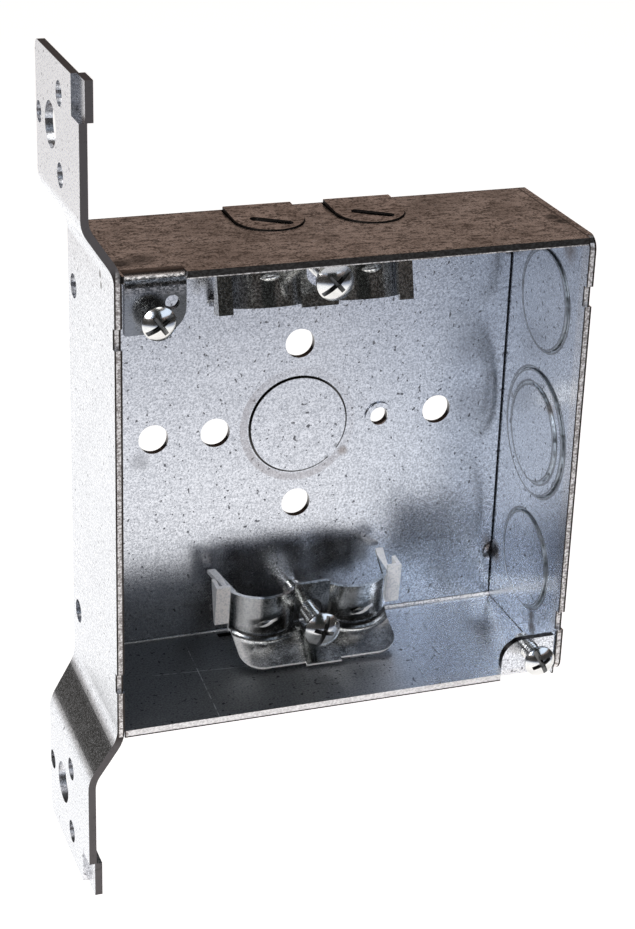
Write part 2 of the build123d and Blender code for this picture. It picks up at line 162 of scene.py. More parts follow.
class Nodes:
    """Builds the node tree of a material or world. Masks are sockets that run from 0 to 1."""

    def __init__(self, owner):
        owner.use_nodes = True
        self.tree = owner.node_tree
        self.tree.nodes.clear()

    def fill(self, socket, value):
        """Links a socket to an input, or sets a plain value; a colour gets its alpha here."""
        if isinstance(value, bpy.types.NodeSocket):
            self.tree.links.new(value, socket)
        elif socket.type == "RGBA":
            socket.default_value = (*value, 1.0)
        else:
            socket.default_value = value

    def add(self, kind, props=None, **inputs):
        """Adds a node, sets its properties and fills its inputs, by name or as i and a number."""
        made = self.tree.nodes.new("ShaderNode" + kind)
        for key, value in (props or {}).items():
            setattr(made, key, value)
        for key, value in inputs.items():
            index = int(key[1:]) if key[0] == "i" and key[1:].isdigit() else key.replace("_", " ")
            self.fill(made.inputs[index], value)
        return made

    def math(self, operation, a, b=0.0, c=0.0, clamp=False):
        props = {"operation": operation, "use_clamp": clamp}
        return self.add("Math", props, i0=a, i1=b, i2=c).outputs[0]

    def scaled(self, value, factor):
        return self.math("MULTIPLY", value, factor)

    def flipped(self, mask):
        return self.math("SUBTRACT", 1.0, mask)

    def weighted(self, start, *parts):
        """A start value plus each value times its weight."""
        total = start
        for value, weight in parts:
            total = self.math("MULTIPLY_ADD", value, weight, total)
        return total

    def product(self, *masks):
        total = masks[0]
        for mask in masks[1:]:
            total = self.math("MULTIPLY", total, mask)
        return total

    def largest(self, *masks):
        total = masks[0]
        for mask in masks[1:]:
            total = self.math("MAXIMUM", total, mask)
        return total

    def ramp(self, value, low, high, to_low=0.0, to_high=1.0):
        """A smooth step of a value between two limits."""
        made = self.add(
            "MapRange",
            {"interpolation_type": "SMOOTHSTEP"},
            Value=value,
            From_Min=low,
            From_Max=high,
            To_Min=to_low,
            To_Max=to_high,
        )
        return made.outputs[0]

    def falling(self, value, low, high):
        """1 below two limits, falling to 0 above them."""
        return self.ramp(value, low, high, 1.0, 0.0)

    def inside(self, value, low, high, soft):
        """1 between two limits, with soft ends outside them."""
        return self.product(self.ramp(value, low - soft, low), self.falling(value, high, high + soft))

    def mix(self, mask, a, b, blend="MIX"):
        """Colour a where the mask is 0 and b, or a blended with b, where it is 1."""
        props = {"data_type": "RGBA", "blend_type": blend}
        return self.add("Mix", props, i0=mask, i6=a, i7=b).outputs[2]


class Metal(Nodes):
    """A metal finish, with the place of the shaded point in mm and the facing of its surface."""

    def __init__(self, name):
        self.material = bpy.data.materials.new(name)
        super().__init__(self.material)
        self.bsdf = self.add("BsdfPrincipled", Metallic=1.0)
        self.add("OutputMaterial", Surface=self.bsdf.outputs[0])
        where = self.add("TexCoord").outputs["Object"]
        self.point = self.add("VectorMath", {"operation": "SCALE"}, i0=where, Scale=1 / MM).outputs[0]
        self.x, self.y, self.z = self.add("SeparateXYZ", Vector=self.point).outputs
        normal = self.add("NewGeometry").outputs["Normal"]
        self.facing_x, self.facing_y, self.facing_z = self.add("SeparateXYZ", Vector=normal).outputs

    def noise(self, scale, detail, roughness=0.5):
        """Noise with a scale in cells per mm, one number or one for each axis."""
        where = self.point
        if isinstance(scale, tuple):
            where = self.add("Mapping", Vector=where, Scale=scale).outputs[0]
            scale = 1.0
        made = self.add("TexNoise", Vector=where, Scale=scale, Detail=detail, Roughness=roughness)
        return made.outputs[0]

    def near(self, point, radius, soft):
        """1 inside a ball round a point, falling to 0 outside it."""
        props = {"operation": "DISTANCE"}
        away = self.add("VectorMath", props, i0=self.point, i1=point).outputs["Value"]
        return self.falling(away, radius, radius + soft)

    def distance(self, a, b, middle):
        """Distance from a point on a wall, in the wall's two coordinates."""
        a = self.math("SUBTRACT", a, middle[0])
        b = self.math("SUBTRACT", b, middle[1])
        return self.math("SQRT", self.math("MULTIPLY_ADD", a, a, self.math("MULTIPLY", b, b)))

    def scratch(self, along, across, start, end, width, soft=0.08):
        """A straight line between two points on a wall, in the wall's two coordinates."""
        run = Vector(end) - Vector(start)
        ahead = run.normalized()
        along = self.math("SUBTRACT", along, start[0])
        across = self.math("SUBTRACT", across, start[1])
        reach = self.weighted(0.0, (along, ahead.x), (across, ahead.y))
        aside = self.weighted(0.0, (across, ahead.x), (along, -ahead.y))
        return self.product(
            self.inside(reach, 0.0, run.length, 2.0),
            self.inside(aside, -width / 2, width / 2, soft),
        )

    def upright(self, y, z, lean):
        """Height along the upright of a plane that leans to the front."""
        return self.weighted(0.0, (z, cos(lean)), (y, -sin(lean)))

    def finish(self, colour, rough, height, bump, bump_depth, metallic=1.0):
        """Joins the finished fields to the shader. The bump's depth is in mm."""
        bumped = self.add("Bump", Strength=bump, Distance=bump_depth * MM, Height=height)
        inputs = self.bsdf.inputs
        self.fill(inputs["Roughness"], rough)
        self.fill(inputs["Metallic"], metallic)
        self.fill(inputs["Base Color"], colour)
        self.fill(inputs["Normal"], bumped.outputs[0])
        return self.material


class GalvanisedSheet(Metal):
    """Zinc coated sheet: pale blue-grey, fine grain, dark specks, sheared edges and marks, with painted
    light and shade laid into its colour.
    """

    def __init__(self):
        super().__init__("galvanised_sheet")
        self.high = self.math("ABSOLUTE", self.z)
        facings = (self.facing_x, self.facing_y, self.facing_z)
        self.across_x, self.across_y, self.across_z = (
            self.falling(self.math("ABSOLUTE", facing), 0.4, 0.6) for facing in facings
        )
        self.cloud = self.noise(0.055, 4.0)
        self.grain = self.ramp(self.noise(2.4, 3.0, 0.6), 0.30, 0.70)
        self.gritty = self.noise((1.8, 2.6, 2.6), 3.0, 0.6)
        self.worn = self.noise(0.7, 3.0)
        self.on_right = self.ramp(self.x, RIGHT_X - 4, RIGHT_X - 3)
        self.on_floor = self.product(
            self.ramp(self.facing_z, 0.8, 0.95), self.falling(self.z, -TOP_Z + 1.8, -TOP_Z + 2.2)
        )
        self.upper_ear = self.product(
            self.inside(self.x, LEFT_X + 2.1, LEFT_X + 14.4, 0.1), self.ramp(self.z, 0, 1)
        )
        self.lower_ear = self.product(
            self.inside(self.x, RIGHT_X - 14.4, RIGHT_X - 2.1, 0.1), self.falling(self.z, -1, 0)
        )

    def build(self):
        speck = self.ramp(self.noise(0.95, 1.5), 0.665, 0.72)
        pit = self.ramp(self.noise(2.1, 1.0), 0.68, 0.74)
        dirt = self.largest(self.scaled(speck, 0.8), self.scaled(pit, 0.7))
        colour = self.mix(dirt, self.zinc_skin(), SPECK)
        colour = self.stained_and_shaded_top(colour)
        colour, burr = self.sheared_rings(colour)
        colour, edge = self.sheared_edges(colour)
        colour = self.dark_cuts(colour)
        colour = self.blue_tint_right(colour)
        colour, left_shade, bend_highlight = self.bottom_wall(colour)
        colour = self.painted_ear_shade(colour)
        colour = self.marks_and_shade(colour)
        blunt = self.largest(edge, burr, left_shade)
        rough = self.weighted(0.20, (self.cloud, 0.08), (dirt, 0.2), (blunt, 0.3))
        height = self.weighted(0.0, (self.grain, 0.6), (dirt, -0.5))
        # The painted bend highlight is made less metallic
        return self.finish(colour, rough, height, 0.10, 0.06, self.ramp(bend_highlight, 0.0, 1.0, 1.0, 0.3))

    def zinc_skin(self):
        drawn = self.noise((0.035, 0.26, 0.9), 3.0)
        tone = self.weighted(-0.22, (self.grain, 0.85), (self.cloud, 0.35), (drawn, 0.25))
        return self.mix(tone, ZINC_DARK, ZINC_LIGHT)

    def stained_and_shaded_top(self, colour):
        """The top is brown with staining and wear, with darker lines along the rolling direction; its
        dark brown is also painted shade standing in for the dark overhead.
        """
        on_top = self.product(
            self.ramp(self.z, TOP_Z - 0.2, TOP_Z - 0.1),
            self.ramp(self.facing_z, 0.4, 0.6),
            self.ramp(self.x, LEFT_X + 1.2, LEFT_X + 1.7),
        )
        wear_and_highlight = self.noise((0.42, 0.9, 0.9), 5.0, 0.7)
        stain_and_shade = self.weighted(0.0, (wear_and_highlight, 0.55), (self.gritty, 0.55))
        stained_and_shaded = self.mix(self.ramp(stain_and_shade, 0.455, 0.60), TOP_STAIN_AND_SHADE, TOP_WORN)
        patches = self.ramp(self.noise(0.13, 3.0), 0.35, 0.60, 0.35, 0.0)
        stained_and_shaded = self.mix(patches, stained_and_shaded, TOP_BROWN_AND_SHADE)
        return self.mix(on_top, colour, stained_and_shaded)

    def back_ring(self, radius, width):
        """A thin circle round the back wall's knockout."""
        away = self.distance(self.x, self.z, (CENTRE_X, 0))
        return self.inside(away, radius - width / 2, radius + width / 2, 0.15)

    def end_ring(self, rise, radius, narrow, wide):
        """A circle on the right wall, drawn wider at its front and rear."""
        away = self.distance(self.y, self.z, (KNOCK_Y, rise))
        off_ring = self.math("ABSOLUTE", self.math("SUBTRACT", away, radius))
        ahead = self.math("ABSOLUTE", self.math("SUBTRACT", self.y, KNOCK_Y))
        beyond = self.weighted(off_ring, (ahead, (narrow - wide) / 2 / radius))
        return self.falling(beyond, narrow / 2, narrow / 2 + 0.12)

    def sheared_rings(self, colour):
        """Knockouts: a dark shear line in the back one's ring with a painted shadow of its step to the
        lower left, bright burrs with dark borders on the right.
        """
        on_back = self.ramp(self.y, 10, 12)
        tie = self.near((65.1, BACK_Y, -7.5), 1.3, 0.3)
        sheared = self.product(self.back_ring(SMALL_RING, 0.35), on_back, self.flipped(tie))
        # Painted shadow of the knockout's step, outside its ring on the lower left
        lower_left = self.ramp(self.math("ADD", self.x, self.z), 68, 52, 0.15, 0.55)
        broken = self.ramp(self.worn, 0.25, 0.6, 0.5, 1.0)
        step_shadow = self.product(self.back_ring(12.6, 1.6), on_back, lower_left, broken)
        colour = self.mix(step_shadow, colour, STEP_SHADOW_GREY)
        borders = [self.end_ring(rise, radius, 0.75, 1.9) for rise, radius in END_RINGS]
        burrs = [self.end_ring(rise, radius, 0.22, 0.50) for rise, radius in END_RINGS]
        border = self.product(self.largest(*borders), self.on_right)
        burr = self.product(
            self.largest(*burrs),
            self.on_right,
            self.ramp(self.worn, 0.35, 0.58, 0.25, 1.0),
            self.ramp(self.flipped(self.across_x), 0.0, 1.0, 0.60, 1.0),
        )
        colour = self.mix(self.largest(sheared, self.scaled(border, 0.65)), colour, SHEAR_BLACK)
        return self.mix(burr, colour, BURR), burr

    def sheared_edges(self, colour):
        """Edges of the sheets: dark burnished lines with a paler broken core."""
        inner, outer = SHEET + 0.02, SHEET + 0.10
        ahead = self.falling(self.facing_y, -0.6, -0.4)
        rim = self.product(ahead, self.falling(self.y, RIM_Y + 2.8, RIM_Y + 3.0))
        at_left = self.falling(self.x, LEFT_X + inner, LEFT_X + outer)
        at_right = self.ramp(self.x, RIGHT_X - outer, RIGHT_X - inner)
        at_level = self.product(
            self.ramp(self.high, TOP_Z - outer, TOP_Z - inner),
            self.flipped(self.largest(self.upper_ear, self.lower_ear)),
        )
        ends = self.ramp(self.high, ARM_Z - 0.12, ARM_Z - 0.03)
        on_box = self.ramp(self.x, LEFT_X + 2, LEFT_X + 3)
        raised = self.product(self.across_z, self.ramp(self.high, TOP_Z + 0.02, TOP_Z + 0.05), on_box)
        lines = self.largest(
            self.inside(self.x, LEFT_X - 1, LEFT_X + 0.30, 0.10),
            self.inside(self.x, LEFT_X + 1.25, LEFT_X + 1.8, 0.10),
            self.inside(self.x, RIGHT_X - 0.35, RIGHT_X + 1, 0.10),
            self.inside(self.x, RIGHT_X - 1.8, RIGHT_X - 1.35, 0.10),
            self.falling(self.z, -TOP_Z + 0.25, -TOP_Z + 0.35),
        )
        core = self.mix(self.ramp(self.gritty, 0.38, 0.62), EDGE_DARK, EDGE_LIGHT)
        low_edge = self.product(self.falling(self.z, -TOP_Z + 1.5, -TOP_Z + 1.7), on_box)
        core = self.mix(self.scaled(low_edge, 0.6), core, EDGE_PALE)
        core = self.mix(lines, core, EDGE_LINE)
        black_top = self.product(
            self.ramp(self.z, TOP_Z - 1.45, TOP_Z - 1.30), self.ramp(self.x, LEFT_X, LEFT_X + SHEET)
        )
        core = self.mix(self.scaled(black_top, 0.95), core, EDGE_BLACK)
        arm = self.ramp(self.high, TOP_Z - 1, TOP_Z + 2)
        core = self.mix(self.product(arm, at_left), core, ARM_EDGE)
        edge = self.product(rim, self.largest(at_left, at_right, at_level))
        edge = self.largest(edge, ends, raised)
        return self.mix(edge, colour, core), edge

    def dark_cuts(self, colour):
        """Black in the punched holes, on the cut ends of the ears and in the open seams of the right
        wall, and painted shade on the walls of the pry-out slots.
        """
        clear = self.falling(self.high, TOP_Z - 3.2, TOP_Z - 3.0)
        within = self.inside(self.x, LEFT_X + 2.0, RIGHT_X - 2.0, 0.05)
        cut = self.product(self.across_y, clear, within)
        bores = self.product(cut, self.ramp(self.y, BACK_Y + 0.04, BACK_Y + 0.10))
        cut_ears = self.product(cut, self.falling(self.y, RIM_Y + 1.70, RIM_Y + 1.75))
        seams = self.product(
            self.inside(self.x, RIGHT_X - 1.82, RIGHT_X - 1.5, 0.06),
            self.largest(
                self.ramp(self.y, BACK_Y - 0.30, BACK_Y - 0.20),
                self.ramp(self.high, TOP_Z - 1.85, TOP_Z - 1.75),
            ),
        )
        # Painted shade: the walls of the pry-out slots are painted black
        slots = self.product(
            self.across_z,
            within,
            self.ramp(self.high, TOP_Z - 1.65, TOP_Z - 1.55),
            self.ramp(self.y, RIM_Y + 3, RIM_Y + 4),
        )
        dark = self.largest(bores, cut_ears, slots, self.scaled(seams, 0.85))
        return self.mix(dark, colour, CUT_BLACK_AND_SHADE)

    def blue_tint_right(self, colour):
        """A bluer tint towards the right, a painted reflection of the blue light there, with more flecks.
        """
        blue_side = self.product(
            self.ramp(self.x, 55, 104),
            self.ramp(self.y, RIM_Y + 2, RIM_Y + 4),
            self.falling(self.z, TOP_Z - 0.3, TOP_Z - 0.2),
        )
        colour = self.mix(blue_side, colour, BLUE_LIGHT_TINT, "MULTIPLY")
        flecks = self.product(self.ramp(self.noise(1.5, 1.5), 0.57, 0.66, 0.0, 0.3), blue_side)
        return self.mix(flecks, colour, FLECK)

    def bottom_wall(self, colour):
        """Painted light and shade on the bottom wall: paler to the right, painted shade on the left and
        on the left of its rear bend, a painted highlight on the right of that bend carried up the right
        wall as a painted reflection, painted shade on the lower offset, and scratches.
        """
        # Painted light: the bottom wall is paler towards the right
        painted_floor_light = self.product(self.on_floor, self.ramp(self.x, 78, 98, 0.0, 0.6))
        colour = self.mix(painted_floor_light, colour, FLOOR_RIGHT_LIGHT)
        # Painted shade on the left of the bottom wall, which also dulls reflections there
        left_shade = self.product(self.on_floor, self.falling(self.x, 45, 85))
        bend = self.product(
            self.ramp(self.facing_z, 0.15, 0.35),
            self.falling(self.facing_y, -0.35, -0.15),
            self.ramp(self.y, 8, 9),
            self.falling(self.z, -45, -44),
        )
        # Painted shade on the left of the rear bend
        bend_shade = self.product(bend, self.falling(self.x, 20, 70))
        colour = self.mix(self.largest(left_shade, bend_shade), colour, LEFT_SHADE_TINT, "MULTIPLY")

        # A painted highlight on the right of the rear bend, carried on up the inner side of the right
        # wall as a painted reflection
        bend_highlight = self.product(
            bend, self.ramp(self.x, 64, 76), self.ramp(self.gritty, 0.38, 0.58, 0.5, 1.0)
        )
        reflected_streak = self.product(
            self.scratch(self.y, self.z, (12.0, -46.0), (-21.0, -30.0), 1.6, 2.2),
            self.on_right,
            self.falling(self.facing_x, -0.6, -0.4),
            self.ramp(self.gritty, 0.40, 0.60, 0.25, 0.9),
        )
        colour = self.mix(self.largest(reflected_streak, bend_highlight), colour, WHITE)
        # Painted shade on the bracket's lower offset bend
        offset_fold_shade = self.product(
            self.inside(self.z, -TOP_Z - 6.5, -TOP_Z - 3.0, 3.5),
            self.falling(self.facing_x, -0.3, 0.0),
            self.falling(self.x, LEFT_X + 0.5, LEFT_X + 1.0),
            self.ramp(self.gritty, 0.42, 0.62, 1.0, 0.55),
        )
        colour = self.mix(offset_fold_shade, colour, OFFSET_FOLD_SHADE)
        scored = self.product(
            self.largest(
                self.scratch(self.x, self.y, (30.3, 6.1), (28.7, -23.0), 0.12),
                self.scratch(self.x, self.y, (21.3, -3.0), (43.7, -4.8), 0.10),
            ),
            self.on_floor,
            self.ramp(self.worn, 0.35, 0.6, 0.0, 0.6),
        )
        return self.mix(scored, colour, SCORED), left_shade, bend_highlight

    def painted_ear_shade(self, colour):
        """Painted shade on the upper ear: darker to the right, mottled towards its fold at the top, dark
        brown where the fold faces up.
        """
        ear = self.product(
            self.upper_ear,
            self.ramp(self.z, TOP_Z - 12.6, TOP_Z - 12.2),
            self.falling(self.y, RIM_Y + 3.2, RIM_Y + 4.2),
        )
        ear_shade = self.mix(self.ramp(self.x, LEFT_X + 3.0, LEFT_X + 8.5), EAR_SHADE_LEFT, EAR_SHADE_RIGHT)
        mottled = self.mix(self.ramp(self.gritty, 0.40, 0.62), EAR_SHADE_DARK, EAR_SHADE_LIGHT)
        ear_shade = self.mix(self.ramp(self.z, TOP_Z - 5.5, TOP_Z - 2.4), ear_shade, mottled)
        ear_shade = self.mix(self.ramp(self.facing_z, 0.70, 0.85), ear_shade, EAR_TOP_SHADE)
        return self.mix(self.scaled(ear, 0.9), colour, ear_shade)

    def marks_and_shade(self, colour):
        # Welds, rust and stains, and painted shade from the smudges
        for point, radius, soft, stain_and_shade, strength in MARKS:
            broken = self.ramp(self.worn, 0.25, 0.55, 0.55 * strength, strength)
            colour = self.mix(self.product(self.near(point, radius, soft), broken), colour, stain_and_shade)
        return colour


class ZincClamp(Metal):
    """Plated strip: the upper clamp plain and grainy, the lower one dark and mottled, with painted
    highlights and painted shade laid into its colour.
    """

    def __init__(self):
        super().__init__("zinc_clamp")
        self.lower = self.falling(self.z, -1, 0)
        self.aside = self.math("ABSOLUTE", self.math("SUBTRACT", self.x, CENTRE_X))
        self.foot_level = self.upright(self.y, self.z, FOOT_LEAN)
        self.foot_facing = self.upright(self.facing_y, self.facing_z, FOOT_LEAN)
        self.wall_level = self.upright(self.y, self.z, WALL_LEAN)
        self.on_foot = self.ramp(self.foot_facing, 0.93, 0.97)

    def build(self):
        cloud = self.noise(0.26, 4.0)
        grain = self.noise(2.2, 3.0, 0.6)
        lines = self.noise((0.12, 0.9, 1.9), 2.0)
        tone = self.weighted(0.0, (cloud, 0.55), (grain, 0.45))
        mottled = self.mix(self.ramp(tone, 0.36, 0.64), MOTTLED_DARK, MOTTLED_LIGHT)
        plain = self.mix(self.ramp(grain, 0.40, 0.60), PLAIN_DARK, PLAIN_LIGHT)
        # Painted highlight colour, for the strips, flank, crests and the foot's edge and side
        wear_and_highlight = self.mix(self.ramp(grain, 0.38, 0.55), HIGHLIGHT_GREY, WHITE)
        colour = self.mix(self.lower, plain, mottled)

        # Painted highlights on the end strips and the left flank
        strip_highlight = self.product(self.ramp(self.aside, 18.4, 18.7), self.lower)
        colour = self.mix(strip_highlight, colour, wear_and_highlight)
        flank_highlight = self.product(
            self.inside(self.x, CENTRE_X - 16.8, CENTRE_X - 13.2, 1.5),
            self.lower,
            self.ramp(self.z, -43.5, -41, 0.3, 0.9),
        )
        colour = self.mix(flank_highlight, colour, wear_and_highlight)

        colour = self.foot_and_panel(colour)
        bead_shade, crest_highlight = self.beads()
        # Painted shade round the beads; painted highlights on their tops and on the foot's edge and left
        # side
        colour = self.mix(self.scaled(bead_shade, 0.85), colour, BEAD_SHADE_BLACK)
        pale_highlights = self.largest(crest_highlight, self.foot_edge_highlight(), self.foot_side_light())
        colour = self.mix(pale_highlights, colour, wear_and_highlight)
        # Painted highlights are made less metallic
        matt_highlights = self.largest(strip_highlight, pale_highlights, self.scaled(flank_highlight, 0.6))
        rough = self.weighted(0.11, (cloud, 0.14))
        height = self.weighted(0.0, (lines, 0.6), (grain, 0.4))
        return self.finish(colour, rough, height, 0.16, 0.06, self.ramp(matt_highlights, 0.0, 1.0, 1.0, 0.15))

    def foot_and_panel(self, colour):
        """Painted shade on the bend above the foot and on the middle panel, painted light on the right
        half of the foot.
        """
        fold = self.product(
            self.inside(self.foot_facing, 0.42, 0.93, 0.06),
            self.inside(self.foot_level, *FOOT_BEND, 0.2),
        )
        colour = self.mix(fold, colour, FOLD_SHADE_TINT, "MULTIPLY")
        panel = self.product(
            self.falling(self.aside, 4.0, 6.0), self.falling(self.foot_facing, 0.40, 0.60), self.lower
        )
        colour = self.mix(panel, colour, PANEL_SHADE_TINT, "MULTIPLY")
        # Painted light on the right half of the foot
        foot_right = self.product(
            self.on_foot, self.ramp(self.x, CENTRE_X + 3, CENTRE_X + 9, 0.0, 0.25), self.lower
        )
        return self.mix(foot_right, colour, FOOT_PAINTED_LIGHT)

    def foot_edge_highlight(self):
        """The sheared edge round the foot, with a painted highlight."""
        return self.product(
            self.falling(self.math("ABSOLUTE", self.foot_facing), 0.15, 0.22),
            self.inside(self.foot_level, *FOOT_EDGE, 0.05),
            self.lower,
        )

    def foot_side_light(self):
        """Painted light on the left side of the foot."""
        left = self.ramp(self.x, CENTRE_X - 17.6, CENTRE_X - 14.6, 0.7, 0.0)
        return self.product(self.on_foot, left, self.lower)

    def beads(self):
        """Painted shade round the beads, and painted highlights along their tops."""
        bead_shades, crest_highlights = [], []
        half = Vector((cos(BEAD_TURN), sin(BEAD_TURN))) * BEAD_HALF
        for side in (-1, 1):
            bead = Vector((CENTRE_X + side * BEAD_OFFSET, BEAD_LEVEL))
            bead_shades.append(self.scratch(self.x, self.wall_level, bead - half, bead + half, 2.6, 1.0))
            half_crest = half * 0.6
            crest_highlights.append(
                self.scratch(self.x, self.wall_level, bead - half_crest, bead + half_crest, 0.5, 0.3)
            )
        bead_shade = self.product(self.largest(*bead_shades), self.lower)
        return bead_shade, self.product(self.largest(*crest_highlights), self.lower)


def zinc_screw(name, low, high, dullness):
    """Plated screw steel between two tones."""
    metal = Metal(name)
    cloud = metal.noise(0.42, 3.0)
    grain = metal.noise(3.2, 2.0)
    colour = metal.mix(metal.weighted(0.0, (cloud, 0.8), (grain, 0.2)), low, high)
    rough = metal.weighted(dullness, (cloud, 0.14))
    return metal.finish(colour, rough, grain, 0.08, 0.04)


SHEET_FINISH = GalvanisedSheet().build()
CLAMP_FINISH = ZincClamp().build()
SCREW_FINISH = zinc_screw("zinc_screw", (0.50, 0.50, 0.49), (0.90, 0.90, 0.88), 0.09)
# The recess finish is painted shade: dark tones inside the recess
RECESS_SHADE_FINISH = zinc_screw("zinc_recess_shade", (0.04, 0.04, 0.04), (0.30, 0.30, 0.29), 0.30)


def dress(name, finish):
    """Gives a CAD node its finish."""
    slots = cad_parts[name].data.materials
    slots.clear()
    slots.append(finish)


for name in ("box_body", "bracket_side_wall", "right_side_wall"):
    dress(name, SHEET_FINISH)
for name in ("upper_cable_clamp", "lower_cable_clamp"):
    dress(name, CLAMP_FINISH)


# Screws: combination heads and rolled threads in place of the plain shanks

# Head radius and shank length
COVER_SCREW = (3.45 * MM, 9.5 * MM)
CLAMP_SCREW = (4.05 * MM, 22.2 * MM)
HEAD_HEIGHT = 2.3 * MM
HEAD_SIDE = 0.9 * MM
HEAD_ROUND = 0.25 * MM
HEAD_AROUND = 64
ROUND_STEPS = 4
DOME_STEPS = 12
SHARP_ANGLE = radians(32)
# Length and width at the top, the same at the floor, depth and turn: a slot and two arms of a cross
RECESS = (
    (10.0 * MM, 1.15 * MM, 10.0 * MM, 0.95 * MM, 1.15 * MM, 0),
    (7.0 * MM, 1.25 * MM, 2.4 * MM, 0.60 * MM, 1.9 * MM, 0),
    (7.0 * MM, 1.25 * MM, 2.4 * MM, 0.60 * MM, 1.9 * MM, 90),
)
RECESS_CLEAR = 1.0 * MM
CREST_RADIUS = 2.0 * MM
ROOT_RADIUS = 1.62 * MM
PITCH = 25.4 / 32 * MM
ROWS_PER_PITCH = 10
THREAD_AROUND = 48
# Rise of the thread over a pitch: a peak with straight flanks, cut off at root and crest
THREAD_TOP = 1.75
THREAD_SLOPE = 5.0
TIP_CHAMFER = 0.4 * MM
SHANK_OVERLAP = 0.05 * MM


def lathe(profile, around):
    """A closed solid turned round +Z from (radius, z) pairs that start and end on the axis."""
    made = bmesh.new()
    angles = [2 * pi * step / around for step in range(around)]
    rings = []
    for radius, z in profile:
        if radius == 0:
            rings.append([made.verts.new((0, 0, z))])
        else:
            rings.append([made.verts.new((radius * cos(a), radius * sin(a), z)) for a in angles])
    for lower, upper in zip(rings, rings[1:]):
        for step in range(around):
            after = (step + 1) % around
            corners = [lower[step % len(lower)], lower[after % len(lower)]]
            corners += [upper[after % len(upper)], upper[step % len(upper)]]
            made.faces.new(list(dict.fromkeys(corners)))
    bmesh.ops.recalc_face_normals(made, faces=made.faces)
    return made


def head_solid(head_radius):
    """Domed head standing on z = 0, with rounded edges."""
    dome_height = HEAD_HEIGHT - HEAD_SIDE
    dome = (head_radius**2 + dome_height**2) / (2 * dome_height)
    profile = [(0, 0), (head_radius - HEAD_ROUND, 0)]
    for step in range(1, ROUND_STEPS + 1):
        turn = radians(90 * step / ROUND_STEPS)
        profile.append((head_radius - HEAD_ROUND * (1 - sin(turn)), HEAD_ROUND * (1 - cos(turn))))
    profile.append((head_radius, HEAD_SIDE))
    for step in range(1, DOME_STEPS):
        radius = head_radius * cos(radians(90 * step / DOME_STEPS))
        profile.append((radius, HEAD_HEIGHT - dome + (dome**2 - radius**2) ** 0.5))
    profile.append((0, HEAD_HEIGHT))
    return lathe(profile, HEAD_AROUND)


def wedge(length, width, floor_length, floor_width, depth, angle):
    """A tapered bar for one arm of the recess, sunk into the top of the head."""
    made = bmesh.new()
    rings = []
    for z, a, b in (
        (HEAD_HEIGHT - depth, floor_length / 2, floor_width / 2),
        (HEAD_HEIGHT + RECESS_CLEAR, length / 2, width / 2),
    ):
        rings.append([made.verts.new((x, y, z)) for x, y in ((-a, -b), (a, -b), (a, b), (-a, b))])
    low, high = rings
    made.faces.new(low[::-1])
    made.faces.new(high)
    for step in range(4):
        after = (step + 1) % 4
        made.faces.new((low[step], low[after], high[after], high[step]))
    bmesh.ops.rotate(made, verts=made.verts, matrix=Matrix.Rotation(radians(angle), 3, "Z"))
    return made


def shank_solid(length):
    """Threaded shank from z = 0 down to the chamfered tip."""
    rows = int(length / PITCH * ROWS_PER_PITCH)
    made = bmesh.new()
    rings = []
    for row in range(rows + 1):
        depth = length * row / rows
        limit = CREST_RADIUS - max(0.0, TIP_CHAMFER - (length - depth))
        ring = []
        for step in range(THREAD_AROUND):
            turn = step / THREAD_AROUND
            phase = (depth / PITCH - turn) % 1.0
            rise = min(1.0, max(0.0, THREAD_TOP - abs(phase - 0.5) * THREAD_SLOPE))
            radius = min(limit, ROOT_RADIUS + (CREST_RADIUS - ROOT_RADIUS) * rise)
            angle = 2 * pi * turn
            ring.append(made.verts.new((radius * cos(angle), radius * sin(angle), -depth)))
        rings.append(ring)
    for upper, lower in zip(rings, rings[1:]):
        for step in range(THREAD_AROUND):
            after = (step + 1) % THREAD_AROUND
            made.faces.new((upper[step], lower[step], lower[after], upper[after]))
    made.faces.new(rings[0])
    made.faces.new(rings[-1][::-1])
    bmesh.ops.recalc_face_normals(made, faces=made.faces)
    return made


def mesh_object(name, made):
    """Turns a bmesh into an object of the scene."""
    mesh = bpy.data.meshes.new(name)
    made.to_mesh(mesh)
    made.free()
    piece = bpy.data.objects.new(name, mesh)
    scene.collection.objects.link(piece)
    return piece


def boolean(piece, other, operation):
    """Applies a boolean to a piece and deletes the other solid."""
    modifier = piece.modifiers.new("cut", "BOOLEAN")
    modifier.operation = operation
    modifier.solver = "EXACT"
    modifier.object = other
    evaluated = piece.evaluated_get(bpy.context.evaluated_depsgraph_get())
    result = bpy.data.meshes.new_from_object(evaluated)
    piece.modifiers.clear()
    piece.data = result
    bpy.data.objects.remove(other)


def screw(node_name, size, recess_angle):
    """A screw in the place of its CAD node, axis along Y and head to the front."""
    head_radius, length = size
    low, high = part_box(node_name)
    axis = (low + high) / 2
    seat_y = high.y - length
    piece = mesh_object(node_name + "_threaded", head_solid(head_radius))
    piece.data.materials.append(SCREW_FINISH)
    piece.data.materials.append(RECESS_SHADE_FINISH)
    for *sizes, turn in RECESS:
        cutter = mesh_object("recess", wedge(*sizes, recess_angle + turn))
        for material in piece.data.materials:
            cutter.data.materials.append(material)
        for face in cutter.data.polygons:
            face.material_index = 1
        boolean(piece, cutter, "DIFFERENCE")
    shank = shank_solid(length)
    bmesh.ops.translate(shank, verts=shank.verts, vec=(0, 0, SHANK_OVERLAP))
    boolean(piece, mesh_object("shank", shank), "UNION")
    place = Matrix(((1, 0, 0, axis.x), (0, 0, -1, seat_y), (0, 1, 0, axis.z), (0, 0, 0, 1)))
    piece.data.transform(place)
    piece.data.shade_smooth()
    piece.data.set_sharp_from_angle(angle=SHARP_ANGLE)
    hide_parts(node_name)
    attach(piece, node_name)


